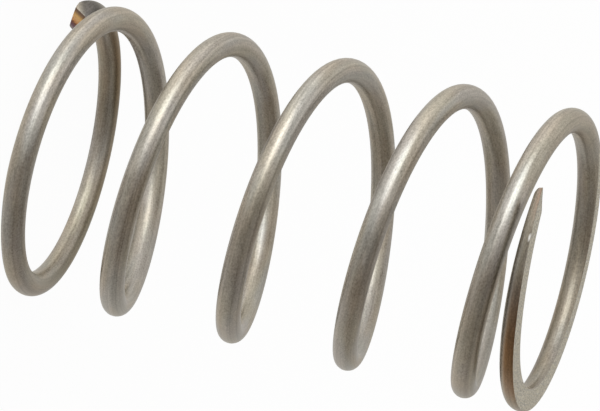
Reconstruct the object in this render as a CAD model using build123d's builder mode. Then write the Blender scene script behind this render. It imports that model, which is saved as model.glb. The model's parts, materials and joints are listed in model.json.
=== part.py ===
from build123d import *
from math import ceil, cos, radians, sin, sqrt, tan
import os

# Small compression spring: round stainless wire, coiled left-handed, with both end coils closed
# and ground flat. The axis is +Z, and the spring stands on its lower ground face at z = 0.
# All lengths are in mm. A "turn" counts coils along the wire from the lower tip.

# The coil
outside_diameter = 12.7
wire_diameter = 1.04
free_length = 22.2
total_coils = 5.85
lower_tip_angle = 195.3  # where the wire starts, in degrees from +X

# Lower end: a level dead coil, whose tip nearly touches the next turn
lower_tip_thickness = 0.85  # what grinding leaves of the wire at the tip
lower_lead = 0.0  # climb of the dead coil per turn
lower_gap = 0.07  # clearance from the tip to the next turn
lower_opening = 0.48  # turns over which the pitch opens out

# Upper end: the dead coil still climbs a little, so grinding thins it towards the tip
upper_tip_thickness = 0.61
upper_lead = 0.46
upper_gap = 0.0  # the long opening leaves a further 0.15 mm here
upper_opening = 0.80

# The last bit of wire before the cutter isn't bent all the way round
flare_turns = 0.15
flare_out = 0.72
flare_up = 0.23

cut_slant = radians(38)  # the cutter shears the wire on the slant, in radians from square
end_turns = 1.25  # turns at each end that hold the dead coil and its opening
points_per_turn = 16

# Worked out from the values above. The slanted profile reaches a little further out than a square
# one does, and the coil radius allows for that.
wire_radius = wire_diameter / 2
slant_reach = wire_radius * tan(cut_slant)
coil_radius = sqrt((outside_diameter / 2) ** 2 - slant_reach**2) - wire_radius
ground_ends = lower_tip_thickness + upper_tip_thickness
active_height = free_length - wire_diameter - ground_ends - lower_gap - upper_gap
active_pitch = active_height / (total_coils - 2)


def rise(turns, lead, gap, opening):
    """Height of the centreline above its tip: a closed lead that eases into the active pitch."""
    closed_turns = (active_pitch - wire_diameter - gap) / (active_pitch - lead)
    eased = (turns - closed_turns) / opening + 0.5
    if eased <= 0:
        opened = 0
    elif eased < 1:
        opened = eased**3 - eased**4 / 2
    else:
        opened = eased - 0.5
    return lead * turns + (active_pitch - lead) * opening * opened


def centre(turn):
    """Centreline point at a number of turns from the lower tip."""
    to_tip = total_coils - turn
    flare = max(0, 1 - to_tip / flare_turns) ** 2
    if turn < total_coils / 2:
        tip_height = lower_tip_thickness - wire_radius
        height = tip_height + rise(turn, lower_lead, lower_gap, lower_opening)
    else:
        tip_height = free_length - upper_tip_thickness + wire_radius
        height = tip_height - rise(to_tip, upper_lead, upper_gap, upper_opening) + flare * flare_up
    radius = coil_radius + flare * flare_out
    angle = radians(lower_tip_angle - 360 * turn)
    return Vector(radius * cos(angle), radius * sin(angle), height)


def heading(turn):
    """Direction of the wire, from the lower tip towards the upper one."""
    step = 0.0001
    return (centre(turn + step) - centre(turn - step)).normalized()


def stretch(first, last):
    """Centreline between two turns."""
    count = ceil((last - first) * points_per_turn) + 2
    points = [centre(first + (last - first) * i / count) for i in range(count + 1)]
    return Spline(points, tangents=[heading(first), heading(last)], tangent_scalars=[1, 1])


# The profile is the sheared end itself: an oval on the slanted plane, which is round seen along
# the wire. Both tips then end in matching slanted faces, inner side longer at the lower tip and
# outer side longer at the upper one.
outward = Vector(centre(0).X, centre(0).Y, 0).normalized()
tip_plane = Plane(
    origin=centre(0),
    x_dir=outward * cos(cut_slant) + heading(0) * sin(cut_slant),
    z_dir=heading(0) * cos(cut_slant) - outward * sin(cut_slant),
)

with BuildPart() as compression_spring:
    with BuildLine() as wire_path:
        stretch(0, end_turns)
        stretch(end_turns, total_coils - end_turns)
        stretch(total_coils - end_turns, total_coils - flare_turns)
        stretch(total_coils - flare_turns, total_coils)
    with BuildSketch(tip_plane):
        Ellipse(wire_radius / cos(cut_slant), wire_radius)
    sweep(path=wire_path.wires()[0], is_frenet=True)

    # Both ends are ground flat and square to the axis
    split(bisect_by=Plane.XY, keep=Keep.TOP)
    split(bisect_by=Plane.XY.offset(free_length), keep=Keep.BOTTOM)

compression_spring.part.label = "compression_spring"
os.makedirs("parts", exist_ok=True)
export_step(compression_spring.part, "parts/compression_spring.step")
print(f"active pitch {active_pitch:.3f} mm, wire length {wire_path.wires()[0].length:.1f} mm")
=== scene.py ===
import bpy
import json
from math import cos, pi, radians, sin, tan, tau
from mathutils import Matrix, Vector


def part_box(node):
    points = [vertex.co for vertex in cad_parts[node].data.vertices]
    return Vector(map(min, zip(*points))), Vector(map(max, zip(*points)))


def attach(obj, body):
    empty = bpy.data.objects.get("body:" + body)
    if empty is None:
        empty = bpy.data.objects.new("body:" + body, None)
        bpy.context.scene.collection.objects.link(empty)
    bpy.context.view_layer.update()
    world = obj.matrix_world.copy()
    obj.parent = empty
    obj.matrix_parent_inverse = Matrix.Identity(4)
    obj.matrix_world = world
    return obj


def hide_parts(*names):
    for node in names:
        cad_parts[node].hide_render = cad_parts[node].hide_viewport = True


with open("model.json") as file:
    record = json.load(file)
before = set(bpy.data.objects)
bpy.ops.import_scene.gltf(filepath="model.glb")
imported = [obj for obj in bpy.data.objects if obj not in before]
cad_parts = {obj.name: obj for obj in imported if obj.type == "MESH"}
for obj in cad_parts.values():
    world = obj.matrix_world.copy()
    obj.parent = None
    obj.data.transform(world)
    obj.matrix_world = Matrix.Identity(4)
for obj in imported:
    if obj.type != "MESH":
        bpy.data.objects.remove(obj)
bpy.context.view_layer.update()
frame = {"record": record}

mm = 0.001


def fromHex(code):
    # sRGB hex to the linear colour that the shaders take
    parts = [int(code[i:i + 2], 16) / 255 for i in (0, 2, 4)]
    return [p / 12.92 if p <= 0.04045 else ((p + 0.055) / 1.055) ** 2.4 for p in parts] + [1]


def addNode(tree, kind, inputs=(), ramp=None, **settings):
    # Adds a node and returns its first output. An input is a value, a socket, or a sum such as
    # ("ADD", a, b), which becomes a Math node of its own. A ramp is {place: colour}.
    made = tree.nodes.new(kind)
    for name, value in settings.items():
        setattr(made, name, value)
    for place, value in inputs.items() if isinstance(inputs, dict) else enumerate(inputs):
        if isinstance(value, tuple) and isinstance(value[0], str):
            value = addNode(tree, "ShaderNodeMath", value[1:], operation=value[0])
        if isinstance(value, bpy.types.NodeSocket):
            tree.links.new(value, made.inputs[place])
        else:
            made.inputs[place].default_value = value
    for i, (place, code) in enumerate(ramp.items() if ramp else ()):
        stop = made.color_ramp.elements[i] if i < 2 else made.color_ramp.elements.new(place)
        stop.position, stop.color = place, fromHex(code)
    return made.outputs[0] if made.outputs else made


def addObject(name, data):
    made = bpy.data.objects.new(name, data)
    bpy.context.scene.collection.objects.link(made)
    return made


def newMaterial(name):
    material = bpy.data.materials.new(name)
    material.use_nodes = True
    tree = material.node_tree
    tree.nodes.clear()
    return material, tree


def wirePattern(tree, across, lengthways, detail=2.0, shift=0.0):
    # Noise that follows the wire. Sizes are in millimetres, on the attribute wirePlace, which holds
    # each point's place outward, upward and along the unrolled wire.
    wire = addNode(tree, "ShaderNodeAttribute", attribute_name="wirePlace").node.outputs["Vector"]
    place = addNode(tree, "ShaderNodeMapping", {
        "Vector": wire, "Scale": (1 / across, 1 / across, 1 / lengthways), "Location": (shift, 0, shift)})
    return addNode(tree, "ShaderNodeTexNoise", {"Vector": place, "Scale": 1.0, "Detail": detail})


def finishMetal(tree, colour, rough, height, depth, edgeTint="FFFFFF"):
    # Ends a bare metal's tree. Depth is how far the relief goes, in millimetres.
    relief = addNode(tree, "ShaderNodeBump", {"Strength": 1.0, "Distance": depth * mm, "Height": height})
    shader = addNode(tree, "ShaderNodeBsdfPrincipled", {
        "Base Color": colour, "Metallic": 1.0, "Roughness": rough,
        "Specular Tint": fromHex(edgeTint), "Normal": relief})
    addNode(tree, "ShaderNodeOutputMaterial", [shader])


# Materials

wireFinish = {  # sizes in millimetres, (across, along the wire)
    "coolGrey": "B1ACA3",
    "warmGrey": "B3AA9A",
    "hueSize": (0.7, 3.2),
    "rosyTint": "FFFDFD",
    "greenTint": "FDFFFF",
    "blushSize": (0.55, 2.4),
    "noiseRange": (0.38, 0.62),  # the noise values at which a mix is all the one or all the other
    "patchSize": (0.30, 1.1),
    "patchDepth": 0.50,
    "dieLineSize": (0.085, 9.0),
    "dieLineDepth": 0.60,
    "grainSize": (0.06, 0.085),
    "grainDepth": 1.10,
    "roughness": (0.31, 0.41),
    "insideRoughness": 0.03,  # added where the wire faces the coil's middle
    "insideSpan": (-0.1, 0.3),  # how far outward that fades
    "tipRoughness": 0.25,  # added at the lower tip
    "tipSpan": (0.9, 1.8),  # how far along the wire that fades
    "edgeTint": "E6E4E0",
    "reliefDepth": 0.0045,
    "reliefMix": (0.25, 0.2, 0.8),  # die lines, grain and patches
    "darkStretch": (188.5, 193.5, 201.0, 204.0),  # along the wire: it starts, is full, thins and ends
    "darkTint": "E6E3DF",
    "scuffsWithPaintedGlints": [  # scuffs with a painted glint on each: place outward, upward and along the wire, then reach and strength
        (0.517, -0.061, 212.87, 0.07, 1.0),
        (0.503, 0.128, 137.35, 0.09, 0.25),
        (0.42, 0.27, 212.0, 0.4, 0.2)],
    "glintScuffStretch": 2.6,  # how much longer they are along the wire than across it
    "glintScuffCore": 0.3,  # the share of the reach that is at full strength
    # near white: the painted glint on each scuff
    "scuffGlintColour": "F6F4EE",
    "tracks": {  # degrees round the wire from its lower side: marks the coiling rollers left all along it
        0: "F2F2F2", 78: "F2F2F2", 84: "E9E9E9", 90: "F2F2F2", 97: "F8F8F8", 108: "F2F2F2", 117: "F0F0F0",
        123: "EAEAEA", 128: "F2F2F2", 135: "F8F8F8", 141: "F0F0F0", 147: "E2E2E2", 153: "F0F0F0",
        160: "F2F2F2", 256: "F2F2F2", 268: "FFFFFF", 282: "F2F2F2", 360: "F2F2F2"},
    "wireLength": 215.0,  # unrolled, to just past the upper tip
    "tintAndShadeSide": (0.65, 0.72),  # the heat tints, and the painted shade near the lower end, lie on the outer and upper side, by these shares
    "tintAndShadeSpan": (-0.08, 0.22),
    "insideShade": 0.6,  # and this much of them on the innermost line, as painted shade on the coil's inner side
    "insideShadeSpan": (-0.52, -0.44),
    "heatTintAndShade": {  # millimetres along the wire: colour laid over the steel's own, oxide from the hot ends, and over the first coil painted shade from the next coil as well
        0.0: "A09E9F", 1.1: "A8A5A5", 2.4: "E4DDD2", 4.0: "C4B49E", 8.0: "CCBFAC", 10.5: "E2DDD4",
        13.0: "D4D0C3", 17.0: "D2CFC2", 20.0: "F2EFEB", 28.0: "FFFFFF", 203.6: "FFFFFF", 205.0: "EFE2D5",
        206.4: "E4C2A5", 207.5: "C9A782", 208.6: "C6A282", 209.6: "C2A78D", 210.6: "C9B8AC",
        211.6: "D9D3C7", 213.2: "EAE6E0", 213.9: "F0E8E2", 214.3: "F2D6C8", 214.6: "E8C2AE"},
}

# Cold-drawn stainless wire: a soft grey sheen with fine lines from the die, drawn coarser here so that they
# show, a matt grain from the lubricant coat, straw to purple oxide where the ends were hot, painted shade
# from the next coil near the lower end, and painted glints on a few scuffs
drawnStainless, tree = newMaterial("coldDrawnStainlessWire")
wire = addNode(tree, "ShaderNodeAttribute", attribute_name="wirePlace").node.outputs["Vector"]
outward, upward, lengthways = addNode(tree, "ShaderNodeSeparateXYZ", [wire]).node.outputs
patches = wirePattern(tree, *wireFinish["patchSize"], detail=3.0)
hues = wirePattern(tree, *wireFinish["hueSize"], detail=1.0, shift=11.0)
dieLines = wirePattern(tree, *wireFinish["dieLineSize"], shift=7.0)
grain = wirePattern(tree, *wireFinish["grainSize"], shift=3.0)
warmth = addNode(tree, "ShaderNodeMapRange", [hues, *wireFinish["noiseRange"], 0.0, 1.0])
steel = addNode(tree, "ShaderNodeMixRGB", [
    warmth, fromHex(wireFinish["coolGrey"]), fromHex(wireFinish["warmGrey"])])
blushes = wirePattern(tree, *wireFinish["blushSize"], detail=1.0, shift=19.0)
blush = addNode(tree, "ShaderNodeMixRGB", [
    addNode(tree, "ShaderNodeMapRange", [blushes, *wireFinish["noiseRange"], 0.0, 1.0]),
    fromHex(wireFinish["rosyTint"]), fromHex(wireFinish["greenTint"])])
hued = addNode(tree, "ShaderNodeMixRGB", [1.0, steel, blush], blend_type="MULTIPLY")
dieTone = ("MULTIPLY", ("SUBTRACT", dieLines, 0.5), wireFinish["dieLineDepth"])
grainTone = ("MULTIPLY", ("SUBTRACT", grain, 0.5), wireFinish["grainDepth"])
patchTone = ("MULTIPLY", ("SUBTRACT", patches, 0.5), wireFinish["patchDepth"])
tone = ("ADD", ("ADD", ("ADD", dieTone, grainTone), patchTone), 1.0)
toned = addNode(tree, "ShaderNodeVectorMath", {0: hued, "Scale": tone}, operation="SCALE")
turned = ("ARCTAN2", ("MULTIPLY", outward, -1.0), upward)  # -pi to pi, with its seam on the lower side
aroundWire = addNode(tree, "ShaderNodeMath", [turned, 1 / tau, 0.5], operation="MULTIPLY_ADD")
tracks = addNode(tree, "ShaderNodeValToRGB", [aroundWire],
                 ramp={place / 360: code for place, code in wireFinish["tracks"].items()})
tracked = addNode(tree, "ShaderNodeMixRGB", [1.0, toned, tracks], blend_type="MULTIPLY")
wireLength = wireFinish["wireLength"]
# oxide colour at both ends, and over the first coil painted shade from the next coil too
tintAndShade = addNode(tree, "ShaderNodeValToRGB", [("DIVIDE", lengthways, wireLength)],
               ramp={place / wireLength: code for place, code in wireFinish["heatTintAndShade"].items()})
outShare, upShare = wireFinish["tintAndShadeSide"]
facing = ("ADD", ("MULTIPLY", outward, outShare), ("MULTIPLY", upward, upShare))
tintAndShadeShare = ("MAXIMUM",
          addNode(tree, "ShaderNodeMapRange", [facing, *wireFinish["tintAndShadeSpan"], 0.0, 1.0],
                  interpolation_type="SMOOTHSTEP"),
          # painted shade: the tints laid on the wire's innermost line as well
          addNode(tree, "ShaderNodeMapRange", [
              outward, *wireFinish["insideShadeSpan"], wireFinish["insideShade"], 0.0]))
tintedAndShadedSteel = addNode(tree, "ShaderNodeMixRGB", [tintAndShadeShare, tracked, tintAndShade], blend_type="MULTIPLY")
darkStart, darkFull, darkThins, darkEnd = wireFinish["darkStretch"]
darkness = ("MULTIPLY", addNode(tree, "ShaderNodeMapRange", [lengthways, darkStart, darkFull, 0.0, 1.0]),
            addNode(tree, "ShaderNodeMapRange", [lengthways, darkThins, darkEnd, 1.0, 0.0]))
darkened = addNode(tree, "ShaderNodeMixRGB", [
    darkness, tintedAndShadedSteel, fromHex(wireFinish["darkTint"])], blend_type="MULTIPLY")
# scuff spots painted near white, as glints
scuffGlint = 0.0
squash = (1, 1, 1 / wireFinish["glintScuffStretch"])
squashed = addNode(tree, "ShaderNodeVectorMath", {0: wire, 1: Vector(squash)}, operation="MULTIPLY")
for outPlace, upPlace, alongPlace, reach, strength in wireFinish["scuffsWithPaintedGlints"]:
    place = [outPlace, upPlace, alongPlace * squash[2]]
    away = addNode(tree, "ShaderNodeVectorMath", [squashed, place], operation="DISTANCE")
    scuffGlint = ("MAXIMUM", scuffGlint, addNode(tree, "ShaderNodeMapRange", [
        away.node.outputs["Value"], wireFinish["glintScuffCore"] * reach, reach, strength, 0.0]))
colour = addNode(tree, "ShaderNodeMixRGB", [scuffGlint, darkened, fromHex(wireFinish["scuffGlintColour"])])
insideFace = addNode(tree, "ShaderNodeMapRange", [
    outward, *wireFinish["insideSpan"], wireFinish["insideRoughness"], 0.0])
dullTip = addNode(tree, "ShaderNodeMapRange", [
    lengthways, *wireFinish["tipSpan"], wireFinish["tipRoughness"], 0.0])
rough = addNode(tree, "ShaderNodeMapRange", [
    ("MULTIPLY", ("ADD", patches, grain), 0.5), *wireFinish["noiseRange"], *wireFinish["roughness"]])
lineShare, grainShare, patchShare = wireFinish["reliefMix"]
height = ("ADD", ("MULTIPLY", dieLines, lineShare),
          ("ADD", ("MULTIPLY", grain, grainShare), ("MULTIPLY", patches, patchShare)))
finishMetal(tree, colour, ("ADD", rough, ("ADD", insideFace, dullTip)), height,
            wireFinish["reliefDepth"], wireFinish["edgeTint"])

groundFinish = {  # sizes in millimetres
    "steel": "87806F",
    "pale": "C6BEA8",
    "markWidth": 0.05,  # a 60 grit wheel's scratches are finer, and wouldn't show
    "markLength": 1.25,
    "markTurn": 25,  # degrees
    "markShare": 0.25,  # of the colour, with small pits for the rest
    "markRange": (0.42, 0.58),
    "roughRange": (0.35, 0.65),
    "roughness": (0.34, 0.5),
    "markDepth": 0.003,
}

# Ground stainless: flat and warm grey, with straight parallel wheel marks that dull it
groundStainless, tree = newMaterial("groundStainlessEnd")
place = addNode(tree, "ShaderNodeTexCoord").node.outputs["Object"]
acrossMarks, alongMarks = 1 / (groundFinish["markWidth"] * mm), 1 / (groundFinish["markLength"] * mm)
marks = addNode(tree, "ShaderNodeTexNoise", {
    "Vector": addNode(tree, "ShaderNodeMapping", {
        0: place, "Rotation": (0, 0, radians(groundFinish["markTurn"])),
        "Scale": (acrossMarks, alongMarks, alongMarks)}), "Scale": 1.0, "Detail": 3.0})
pits = wirePattern(tree, *wireFinish["grainSize"], shift=5.0)
markShare = groundFinish["markShare"]
marked = ("ADD", ("MULTIPLY", marks, markShare), ("MULTIPLY", pits, 1 - markShare))
markFactor = addNode(tree, "ShaderNodeMapRange", [marked, *groundFinish["markRange"], 0.0, 1.0])
colour = addNode(tree, "ShaderNodeMixRGB", [
    markFactor, fromHex(groundFinish["steel"]), fromHex(groundFinish["pale"])])
rough = addNode(tree, "ShaderNodeMapRange", [marks, *groundFinish["roughRange"], *groundFinish["roughness"]])
finishMetal(tree, colour, rough, marks, groundFinish["markDepth"])

shearFinish = {  # sizes in millimetres
    "bandStart": (0.08, -0.06),  # outward and up, where the rolled edge meets the face
    "bandTurn": (-0.9, -0.44),  # outward and up, the way the bands follow each other
    "bandSpan": (0.03, 0.62),
    "heatBands": {0.0: "4A3B30", 0.10: "5B4632", 0.24: "86683F", 0.42: "8A6A48", 0.54: "7C5736",
                  0.66: "523628", 0.80: "473438", 1.0: "6A5E5A"},
    "bandRaggedness": 0.12,
    "roughRange": (0.35, 0.65),
    "roughness": (0.36, 0.52),
    "tearSize": (0.05, 0.4),
    "tearDepth": 0.006,
}

# Sheared stainless: the blade's heat left straw, brown and purple oxide in bands, over torn metal
shearedStainless, tree = newMaterial("shearedHeatTintedStainless")
wire = addNode(tree, "ShaderNodeAttribute", attribute_name="wirePlace").node.outputs["Vector"]
outward, upward = addNode(tree, "ShaderNodeSeparateXYZ", [wire]).node.outputs[:2]
tears = wirePattern(tree, *shearFinish["tearSize"], detail=3.0)
(startOut, startUp), (turnOut, turnUp) = shearFinish["bandStart"], shearFinish["bandTurn"]
across = ("ADD", ("MULTIPLY", ("SUBTRACT", outward, startOut), turnOut),
          ("MULTIPLY", ("SUBTRACT", upward, startUp), turnUp))
ragged = addNode(tree, "ShaderNodeMath", [
    ("SUBTRACT", tears, 0.5), shearFinish["bandRaggedness"], across], operation="MULTIPLY_ADD")
band = addNode(tree, "ShaderNodeMapRange", [ragged, *shearFinish["bandSpan"], 0.0, 1.0])
colour = addNode(tree, "ShaderNodeValToRGB", [band], ramp=shearFinish["heatBands"])
rough = addNode(tree, "ShaderNodeMapRange", [tears, *shearFinish["roughRange"], *shearFinish["roughness"]])
finishMetal(tree, colour, rough, tears, shearFinish["tearDepth"])
print("materials: drawn, ground and sheared stainless")


# The spring: a straight bar of wire, coiled, sheared and ground by rule

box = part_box("compression_spring")
mounts = {m["name"]: m["dims"] for m in frame["record"]["mounts"]}
outside = 2 * mounts["spring_pocket"]["r_mm"]
springWire = {  # millimetres, and turns counted from the lower tip
    "outsideDiameter": outside,
    "wireDiameter": outside / 2 - mounts["guide_rod"]["r_mm"],
    "freeLength": (box[1].z - box[0].z) / mm,
    "coils": 5.85,
    "tipAngle": radians(195.3),
    "lowerTip": 0.85,  # wire left at the tip by grinding
    "lowerLead": 0.0,
    "lowerGap": 0.07,
    "lowerOpening": 0.48,
    "upperTip": 0.61,
    "upperLead": 0.46,
    "upperGap": 0.0,
    "upperOpening": 0.80,
    "flareTurns": 0.15,
    "flareOut": 0.72,
    "flareUp": 0.23,
    "cutSlant": tan(radians(38)),
    "slantFade": 0.09,
    "edgeRound": 0.05,  # sharp edge rubbed off the sheared ends
    "lowerRoll": 0.46,  # how much of the end the blade rolled over, from the outer side
    "upperRoll": 0.16,
    "rollTilt": radians(26),
    "rollLength": 0.8,
    "burr": 0.10,  # lip left on the inner side of the lower end
    "burrLength": 0.4,
    "segmentsRound": 80,
    "segmentsInCap": 3,
    "segmentsAlong": 900,
    "endCrowding": 0.9,  # 0 spaces the rings evenly, near 1 crowds them at the tips
}


def coilTree(values):
    # Builds the Geometry Nodes tree that coils the wire. Inputs are in millimetres and turns.
    tree = bpy.data.node_groups.new("coiledWire", "GeometryNodeTree")
    tree.interface.new_socket("Geometry", in_out="OUTPUT", socket_type="NodeSocketGeometry")
    for name, value in values.items():
        kind = "NodeSocketInt" if isinstance(value, int) else "NodeSocketFloat"
        tree.interface.new_socket(name, in_out="INPUT", socket_type=kind)
    addNode(tree, "NodeGroupInput")
    given = {s.name: s for s in tree.nodes[-1].outputs}

    # The straight bar, one unit across and one unit long
    bar = addNode(tree, "GeometryNodeMeshCylinder", {
        "Vertices": given["segmentsRound"], "Side Segments": given["segmentsAlong"],
        "Fill Segments": given["segmentsInCap"], "Radius": 1.0, "Depth": 1.0}, fill_type="TRIANGLE_FAN")
    ends = ("MAXIMUM", bar.node.outputs["Top"], bar.node.outputs["Bottom"])
    place = addNode(tree, "GeometryNodeInputPosition")
    across, aside, along = addNode(tree, "ShaderNodeSeparateXYZ", [place]).node.outputs
    around = addNode(tree, "ShaderNodeMath", [aside, across], operation="ARCTAN2")
    reach = addNode(tree, "ShaderNodeMath",
                    [("ADD", ("MULTIPLY", across, across), ("MULTIPLY", aside, aside))], operation="SQRT")

    wireRadius = addNode(tree, "ShaderNodeMath", [given["wireDiameter"], 0.5], operation="MULTIPLY")
    coilRadius = addNode(tree, "ShaderNodeMath",
                         [("MULTIPLY", given["outsideDiameter"], 0.5), wireRadius], operation="SUBTRACT")
    coils, freeLength = given["coils"], given["freeLength"]

    # How far along each point lies, in turns, with the rings crowded towards the tips
    share = addNode(tree, "ShaderNodeMath", [along, 0.5], operation="ADD")
    crowding = ("MULTIPLY", ("SINE", ("MULTIPLY", share, tau)), ("DIVIDE", given["endCrowding"], tau))
    straight = addNode(tree, "ShaderNodeMath", [("SUBTRACT", share, crowding), coils], operation="MULTIPLY")

    # Sheared ends: rounded edges, rolled over on the outer side, with a lip on the lower one's inner side
    lowEnd = addNode(tree, "ShaderNodeMath", [straight, 1.0], operation="LESS_THAN")
    rollChange = ("SUBTRACT", given["lowerRoll"], given["upperRoll"])
    roll = ("ADD", given["upperRoll"], ("MULTIPLY", lowEnd, rollChange))
    bladeTilt = ("MULTIPLY", lowEnd, given["rollTilt"])
    bladeSide = ("MAXIMUM", ("SINE", ("SUBTRACT", around, bladeTilt)), 0.01)  # never 0, because it divides
    rounding = addNode(tree, "ShaderNodeMath", [
        ("SUBTRACT", wireRadius, ("DIVIDE", ("SUBTRACT", wireRadius, roll), bladeSide)), given["edgeRound"]],
        operation="MAXIMUM")
    nearerEnd = ("MINIMUM", straight, ("SUBTRACT", coils, straight))
    turnLength = ("MULTIPLY", coilRadius, tau)
    fromCut = addNode(tree, "ShaderNodeMath", [nearerEnd, turnLength], operation="MULTIPLY")
    inRound = addNode(tree, "ShaderNodeMath", [
        ("SUBTRACT", 1.0, ("DIVIDE", fromCut, ("MULTIPLY", rounding, given["rollLength"]))), 0.0],
        operation="MAXIMUM")
    shrink = ("SUBTRACT", 1.0, ("SQRT", ("SUBTRACT", 1.0, ("MULTIPLY", inRound, inRound))))
    inLip = ("MULTIPLY", ("MAXIMUM", ("SUBTRACT", 1.0, ("DIVIDE", fromCut, given["burrLength"])), 0.0),
             ("MAXIMUM", ("MULTIPLY", ("SINE", around), -1.0), 0.0))
    lip = ("MULTIPLY", ("MULTIPLY", lowEnd, given["burr"]), ("MULTIPLY", inLip, inLip))
    localRadius = addNode(tree, "ShaderNodeMath", [
        ("SUBTRACT", wireRadius, ("MULTIPLY", rounding, shrink)), lip], operation="ADD")
    size = addNode(tree, "ShaderNodeMath", [reach, localRadius], operation="MULTIPLY")

    # Both ends are sheared on the slant
    fade = addNode(tree, "ShaderNodeMapRange", [nearerEnd, 0.0, given["slantFade"], 1.0, 0.0],
                   interpolation_type="SMOOTHSTEP")
    outward = ("MULTIPLY", size, ("SINE", around))
    slide = ("DIVIDE", ("MULTIPLY", outward, given["cutSlant"]), turnLength)
    turn = addNode(tree, "ShaderNodeMath", [slide, fade, straight], operation="MULTIPLY_ADD")

    # Each half of the wire is shaped from its own tip
    upper = addNode(tree, "ShaderNodeMath", [turn, ("MULTIPLY", coils, 0.5)], operation="GREATER_THAN")
    away = addNode(tree, "ShaderNodeMath", [upper, -2.0, 1.0], operation="MULTIPLY_ADD")  # 1 below, -1 above
    own = {}
    for name in ("Tip", "Lead", "Gap", "Opening"):
        low, high = given["lower" + name], given["upper" + name]
        own[name] = addNode(tree, "ShaderNodeMath", [upper, ("SUBTRACT", high, low), low],
                            operation="MULTIPLY_ADD")
    fromTip = addNode(tree, "ShaderNodeMath", [turn, away, ("MULTIPLY", upper, coils)],
                      operation="MULTIPLY_ADD")

    # The dead coil at its own lead, easing into the active pitch
    spare = ("ADD", ("ADD", given["lowerTip"], given["upperTip"]),
             ("ADD", given["lowerGap"], given["upperGap"]))
    used = ("SUBTRACT", ("SUBTRACT", freeLength, given["wireDiameter"]), spare)
    pitch = addNode(tree, "ShaderNodeMath", [used, ("SUBTRACT", coils, 2.0)], operation="DIVIDE")
    extra = addNode(tree, "ShaderNodeMath", [pitch, own["Lead"]], operation="SUBTRACT")
    closed = ("DIVIDE", ("SUBTRACT", ("SUBTRACT", pitch, given["wireDiameter"]), own["Gap"]), extra)
    eased = addNode(tree, "ShaderNodeMath", [
        ("DIVIDE", ("SUBTRACT", fromTip, closed), own["Opening"]), 0.5], operation="ADD")
    ease = addNode(tree, "ShaderNodeMath", [eased, 0.0], operation="ADD", use_clamp=True)
    squared = addNode(tree, "ShaderNodeMath", [ease, ease], operation="MULTIPLY")
    opened = ("ADD", ("MULTIPLY", ("MULTIPLY", squared, ease), ("SUBTRACT", 1.0, ("MULTIPLY", ease, 0.5))),
              ("MAXIMUM", ("SUBTRACT", eased, 1.0), 0.0))
    rise = ("ADD", ("MULTIPLY", own["Lead"], fromTip),
            ("MULTIPLY", extra, ("MULTIPLY", own["Opening"], opened)))
    slope = ("ADD", own["Lead"],
             ("MULTIPLY", extra, ("MULTIPLY", squared, ("SUBTRACT", 3.0, ("MULTIPLY", ease, 2.0)))))

    # The last bit, which isn't bent all the way round
    unbent = addNode(tree, "ShaderNodeMath", [
        0.0, ("SUBTRACT", 1.0, ("DIVIDE", ("SUBTRACT", coils, turn), given["flareTurns"]))],
        operation="MAXIMUM")
    flare = addNode(tree, "ShaderNodeMath", [unbent, unbent], operation="MULTIPLY")
    flaring = addNode(tree, "ShaderNodeMath", [("MULTIPLY", unbent, 2.0), given["flareTurns"]],
                      operation="DIVIDE")

    # Centreline and the wire's own directions
    depth = addNode(tree, "ShaderNodeMath", [
        ("ADD", ("SUBTRACT", own["Tip"], wireRadius), rise), ("MULTIPLY", flare, given["flareUp"])],
        operation="SUBTRACT")  # from the ground plane of this half
    height = addNode(tree, "ShaderNodeMath", [away, depth, ("MULTIPLY", upper, freeLength)],
                     operation="MULTIPLY_ADD")
    radius = addNode(tree, "ShaderNodeMath", [flare, given["flareOut"], coilRadius], operation="MULTIPLY_ADD")
    angle = addNode(tree, "ShaderNodeMath", [turn, -tau, given["tipAngle"]], operation="MULTIPLY_ADD")
    east = addNode(tree, "ShaderNodeMath", [angle], operation="COSINE")
    north = addNode(tree, "ShaderNodeMath", [angle], operation="SINE")
    centre = addNode(tree, "ShaderNodeCombineXYZ", [
        ("MULTIPLY", radius, east), ("MULTIPLY", radius, north), height])
    radial = addNode(tree, "ShaderNodeCombineXYZ", [east, north, 0.0])
    sweep = ("MULTIPLY", radius, tau)
    turning = addNode(tree, "ShaderNodeCombineXYZ", [
        ("MULTIPLY", sweep, north), ("MULTIPLY", ("MULTIPLY", sweep, east), -1.0),
        ("ADD", slope, ("MULTIPLY", flaring, given["flareUp"]))])
    spreading = addNode(tree, "ShaderNodeVectorMath", {
        0: radial, "Scale": ("MULTIPLY", flaring, given["flareOut"])}, operation="SCALE")
    heading = addNode(tree, "ShaderNodeVectorMath", [turning, spreading], operation="ADD")
    above = addNode(tree, "ShaderNodeVectorMath", [
        addNode(tree, "ShaderNodeVectorMath", [heading, radial], operation="CROSS_PRODUCT")],
        operation="NORMALIZE")
    outside = addNode(tree, "ShaderNodeVectorMath", [
        addNode(tree, "ShaderNodeVectorMath", [above, heading], operation="CROSS_PRODUCT")],
        operation="NORMALIZE")
    lean = addNode(tree, "ShaderNodeSeparateXYZ", [above]).node.outputs["Z"]

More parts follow.
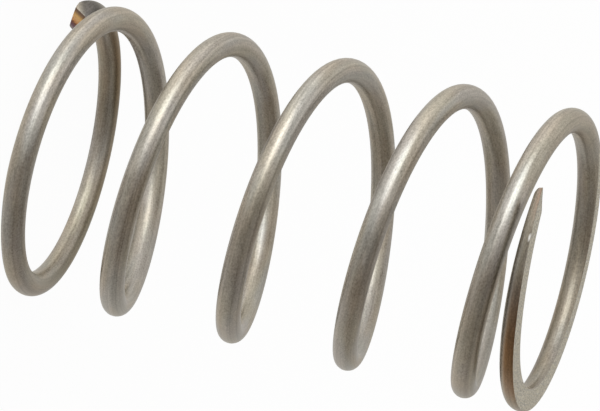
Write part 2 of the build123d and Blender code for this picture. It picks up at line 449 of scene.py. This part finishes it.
    # Angle round the wire from the ground side, with one row of points set on the flat's edge
    fromGround = addNode(tree, "ShaderNodeMath", [away, ("ABSOLUTE", around), ("MULTIPLY", upper, pi)],
                         operation="MULTIPLY_ADD")
    edge = addNode(tree, "ShaderNodeMath", [
        ("MAXIMUM", ("MINIMUM", ("DIVIDE", depth, ("MULTIPLY", localRadius, lean)), 1.0), -1.0)],
        operation="ARCCOSINE")
    toEdge = addNode(tree, "ShaderNodeMath", [edge, fromGround], operation="SUBTRACT")
    near = ("LESS_THAN", ("ABSOLUTE", toEdge), ("DIVIDE", pi, given["segmentsRound"]))
    seated = addNode(tree, "ShaderNodeMath", [near, toEdge, fromGround], operation="MULTIPLY_ADD")
    outPart = addNode(tree, "ShaderNodeMath", [size, ("MULTIPLY", ("SINE", seated), ("SIGN", around))],
                      operation="MULTIPLY")
    upPart = ("MULTIPLY", ("MULTIPLY", away, -1.0), ("MULTIPLY", size, ("COSINE", seated)))
    outShift = addNode(tree, "ShaderNodeVectorMath", {0: outside, "Scale": outPart}, operation="SCALE")
    upShift = addNode(tree, "ShaderNodeVectorMath", {0: above, "Scale": upPart}, operation="SCALE")
    coiled = addNode(tree, "ShaderNodeVectorMath", [
        centre, addNode(tree, "ShaderNodeVectorMath", [outShift, upShift], operation="ADD")],
        operation="ADD")

    # Grinding: nothing stands past either end plane
    x, y, z = addNode(tree, "ShaderNodeSeparateXYZ", [coiled]).node.outputs
    ground = addNode(tree, "ShaderNodeMath", [("MINIMUM", z, freeLength), 0.0], operation="MAXIMUM")
    upLeft = ("DIVIDE", ("SUBTRACT", ground, height), lean)
    finished = addNode(tree, "ShaderNodeVectorMath", {
        0: addNode(tree, "ShaderNodeCombineXYZ", [x, y, ground]), "Scale": mm}, operation="SCALE")
    unrolled = addNode(tree, "ShaderNodeCombineXYZ", [
        outPart, upLeft, ("MULTIPLY", turn, turnLength)])

    shape = addNode(tree, "GeometryNodeStoreNamedAttribute", {
        "Geometry": bar, "Name": "wirePlace", "Value": unrolled},
        data_type="FLOAT_VECTOR", domain="POINT")
    shape = addNode(tree, "GeometryNodeSetPosition", {"Geometry": shape, "Position": finished})
    moved = addNode(tree, "GeometryNodeInputPosition")
    level = addNode(tree, "ShaderNodeSeparateXYZ", [moved]).node.outputs["Z"]
    halfLength = addNode(tree, "ShaderNodeMath", [freeLength, 0.5 * mm], operation="MULTIPLY")
    rounding = 0.0001 * mm  # what a stored position may be off by
    flats = addNode(tree, "ShaderNodeMath", [
        ("ABSOLUTE", ("SUBTRACT", level, halfLength)), ("SUBTRACT", halfLength, rounding)],
        operation="GREATER_THAN")
    cuts = addNode(tree, "ShaderNodeMath", [ends, 0.5], operation="GREATER_THAN")
    shape = addNode(tree, "GeometryNodeSetShadeSmooth", {
        "Geometry": shape, "Shade Smooth": ("SUBTRACT", 1.0, ("MAXIMUM", flats, cuts))}, domain="FACE")
    shape = addNode(tree, "GeometryNodeRealizeInstances", [shape])
    shape = addNode(tree, "GeometryNodeSetMaterial", {"Geometry": shape, "Material": drawnStainless})
    shape = addNode(tree, "GeometryNodeSetMaterial", {
        "Geometry": shape, "Selection": flats, "Material": groundStainless})
    shape = addNode(tree, "GeometryNodeSetMaterial", {
        "Geometry": shape, "Selection": cuts, "Material": shearedStainless})
    addNode(tree, "NodeGroupOutput", [shape])
    return tree


def makeFromTree(name, tree, values):
    # Runs a tree on an empty mesh and keeps the result as a plain one
    carrier = addObject(name + "Carrier", bpy.data.meshes.new(name + "Carrier"))
    modifier = carrier.modifiers.new("shape", "NODES")
    modifier.node_group = tree
    for item in tree.interface.items_tree:
        if item.in_out == "INPUT":
            modifier[item.identifier] = values[item.name]
    depsgraph = bpy.context.evaluated_depsgraph_get()
    mesh = bpy.data.meshes.new_from_object(
        carrier.evaluated_get(depsgraph), preserve_all_data_layers=True, depsgraph=depsgraph)
    carrier.modifiers.remove(modifier)
    bpy.data.objects.remove(carrier)
    mesh.name = name
    mesh.materials.pop(index=0)  # the carrier's empty slot
    return addObject(name, mesh)


spring = makeFromTree("springWire", coilTree(springWire), springWire)
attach(spring, "root")
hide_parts("compression_spring")
print("spring:", len(spring.data.vertices), "points,", len(spring.data.materials), "finishes")


# Camera, rolled so that the spring lies across the frame

cameraPlace = {  # degrees and millimetres
    "elevation": 13.918,
    "roll": -102.879,
    "distance": 260.3,
    "aimRight": 0.156,  # how far the spring's middle lies right of the frame's
    "aimUp": 0.064,
    "lens": 375.66,
    "clip": (10, 10000),
}
tilt, roll = radians(cameraPlace["elevation"]), radians(cameraPlace["roll"])
back = Vector((0, -cos(tilt), sin(tilt)))
level, upward = Vector((1, 0, 0)), Vector((0, sin(tilt), cos(tilt)))
right = cos(roll) * level - sin(roll) * upward
up = sin(roll) * level + cos(roll) * upward
springMiddle = Vector((0, 0, springWire["freeLength"] / 2))
aim = springMiddle - right * cameraPlace["aimRight"] - up * cameraPlace["aimUp"]
lens = bpy.data.cameras.new("camera")
lens.lens = cameraPlace["lens"]
lens.clip_start, lens.clip_end = [distance * mm for distance in cameraPlace["clip"]]
camera = addObject("camera", lens)
camera.matrix_world = Matrix.Translation((aim + back * cameraPlace["distance"]) * mm) \
    @ Matrix((right, up, back)).transposed().to_4x4()
bpy.context.scene.camera = camera
print("camera:", lens.lens, "mm lens at", cameraPlace["distance"], "mm")

# Studio: white all round, soft boxes over the camera's shoulder and past the frame's top, and a grey flag

studio = {  # sizes in millimetres
    "roomColor": "FFFDFA",
    "roomLight": 0.62,  # what the white room gives to matte surfaces
    "softBoxDistance": 400,
    "softBoxes": {  # place right, up and back in the camera's own directions, then size, power and colour
        "keySoftBox": ((-0.05, 0.68, 0.73), (330, 330), 0.80, "F1F9FF"),
        "topSoftBox": ((-0.03, 0.98, -0.05), (500, 420), 0.24, "FFFFFF"),
    },
    "paperColor": "F4F4F2",
    "floorRadius": 260,
    "floorCorners": 96,
    "floorGlow": (0.96, 1.0),  # beside the spring, and where the floor runs out
    "floorGlowStart": 10,
    "flagColor": "938D87",
    "flagRadius": 150,
    "flagDensity": (0.5, 0.97),
    "flagDensityHeights": (-1.0, 0.35),  # where it has these, in flag radii
    "flagTurn": (-8, 18, 60, 190),  # where it starts, is full, thins and ends, degrees from the camera side
    "flagLean": 110,  # how much further it reaches at its top, and less at its foot
    "flagFoot": -0.25,  # the height below which it gets no shorter
    "flagLast": 262,
    "flagSteps": 36,
}


def whiteRays(tree):
    # 1 where the white room is seen, straight or in metal or glass, and 0 where it only lights matte things
    rays = addNode(tree, "ShaderNodeLightPath").node.outputs
    return ("MAXIMUM", ("MAXIMUM", rays["Is Camera Ray"], rays["Is Glossy Ray"]),
            rays["Is Transmission Ray"])


bpy.context.scene.view_settings.view_transform = "Standard"
world = bpy.data.worlds.new("studio")
world.use_nodes = True
bpy.context.scene.world = world
tree = world.node_tree
tree.nodes.clear()
room = addNode(tree, "ShaderNodeBackground", [fromHex(studio["roomColor"]), studio["roomLight"]])
white = addNode(tree, "ShaderNodeBackground", [fromHex("FFFFFF"), 1.0])
addNode(tree, "ShaderNodeOutputWorld", [
    addNode(tree, "ShaderNodeMixShader", [whiteRays(tree), room, white])])

for name, (place, (width, height), power, color) in studio["softBoxes"].items():
    lamp = bpy.data.lights.new(name, "AREA")
    lamp.shape, lamp.size, lamp.size_y = "RECTANGLE", width * mm, height * mm
    lamp.energy, lamp.color = power, fromHex(color)[:3]
    away = (right * place[0] + up * place[1] + back * place[2]).normalized()
    side = up.cross(away).normalized()
    addObject(name, lamp).matrix_world = \
        Matrix.Translation((springMiddle + away * studio["softBoxDistance"]) * mm) \
        @ Matrix((side, away.cross(side), away)).transposed().to_4x4()

# Floor, white to the eye and to the metal, with the spring's own faint shadow
floor = bpy.data.meshes.new("floor")
floorObject = addObject("floor", floor)
corners = studio["floorCorners"]
rim = [(cos(tau * i / corners) * studio["floorRadius"] * mm,
        sin(tau * i / corners) * studio["floorRadius"] * mm, 0) for i in range(corners)]
floor.from_pydata(rim, [], [list(range(corners))])
palePaper, tree = newMaterial("matteWhitePaper")
paper = addNode(tree, "ShaderNodeBsdfDiffuse", [fromHex(studio["paperColor"])])
glow = addNode(tree, "ShaderNodeEmission", [fromHex("FFFFFF"), 1.0])
onFloor = addNode(tree, "ShaderNodeTexCoord").node.outputs["Object"]
outwards = addNode(tree, "ShaderNodeVectorMath", [onFloor], operation="LENGTH").node.outputs["Value"]
thinning = addNode(tree, "ShaderNodeMapRange", [
    outwards, studio["floorGlowStart"] * mm, studio["floorRadius"] * mm, *studio["floorGlow"]])
addNode(tree, "ShaderNodeOutputMaterial", [
    addNode(tree, "ShaderNodeMixShader", [("MULTIPLY", whiteRays(tree), thinning), paper, glow])])
floor.materials.append(palePaper)
floorObject.visible_glossy = floorObject.visible_shadow = False  # the white room shows in its place

# Flag: grey cloth curved round one side of the spring and its back, which only the metal sees
flag = bpy.data.meshes.new("greyFlag")
flagObject = addObject("greyFlag", flag)
flagStarts, flagFull, flagThins, flagEnds = studio["flagTurn"]
steps = studio["flagSteps"]
rows = []
for i in range(steps + 1):
    angle = radians(flagStarts + (studio["flagLast"] - flagStarts) * i / steps - 90)
    for j in range(steps + 1):
        lift = pi * (j / steps - 0.5)
        outwards = Vector((cos(lift) * cos(angle), cos(lift) * sin(angle), sin(lift)))
        rows.append(outwards * studio["flagRadius"] * mm)
column = steps + 1
flag.from_pydata(rows, [], [
    (i * column + j, (i + 1) * column + j, (i + 1) * column + j + 1, i * column + j + 1)
    for i in range(steps) for j in range(steps)])
greyCloth, tree = newMaterial("greyCloth")
onFlag = addNode(tree, "ShaderNodeTexCoord").node.outputs["Object"]
turned = addNode(tree, "ShaderNodeTexGradient", [onFlag], gradient_type="RADIAL").node.outputs["Fac"]
flagDegrees = addNode(tree, "ShaderNodeMath", [turned, 360.0, -90.0], operation="MULTIPLY_ADD")
flagHeight = addNode(tree, "ShaderNodeMath", [
    addNode(tree, "ShaderNodeSeparateXYZ", [onFlag]).node.outputs["Z"], studio["flagRadius"] * mm],
    operation="DIVIDE")
starts = addNode(tree, "ShaderNodeMapRange", [flagDegrees, flagStarts, flagFull, 0.0, 1.0],
                 interpolation_type="SMOOTHSTEP")
lean = ("MULTIPLY", ("MAXIMUM", flagHeight, studio["flagFoot"]), studio["flagLean"])
ends = addNode(tree, "ShaderNodeMapRange", [flagDegrees, flagThins, ("ADD", flagEnds, lean), 1.0, 0.0],
               interpolation_type="SMOOTHSTEP")
density = addNode(tree, "ShaderNodeMapRange", [
    flagHeight, *studio["flagDensityHeights"], *studio["flagDensity"]])
addNode(tree, "ShaderNodeOutputMaterial", [addNode(tree, "ShaderNodeMixShader", [
    ("MULTIPLY", starts, ("MULTIPLY", ends, density)),
    addNode(tree, "ShaderNodeBsdfTransparent"),
    addNode(tree, "ShaderNodeEmission", [fromHex(studio["flagColor"]), 1.0])])])
flag.materials.append(greyCloth)
for ray in ("camera", "diffuse", "transmission", "volume_scatter", "shadow"):
    setattr(flagObject, "visible_" + ray, False)
print("studio: two soft boxes, a white room, a floor and a grey flag")
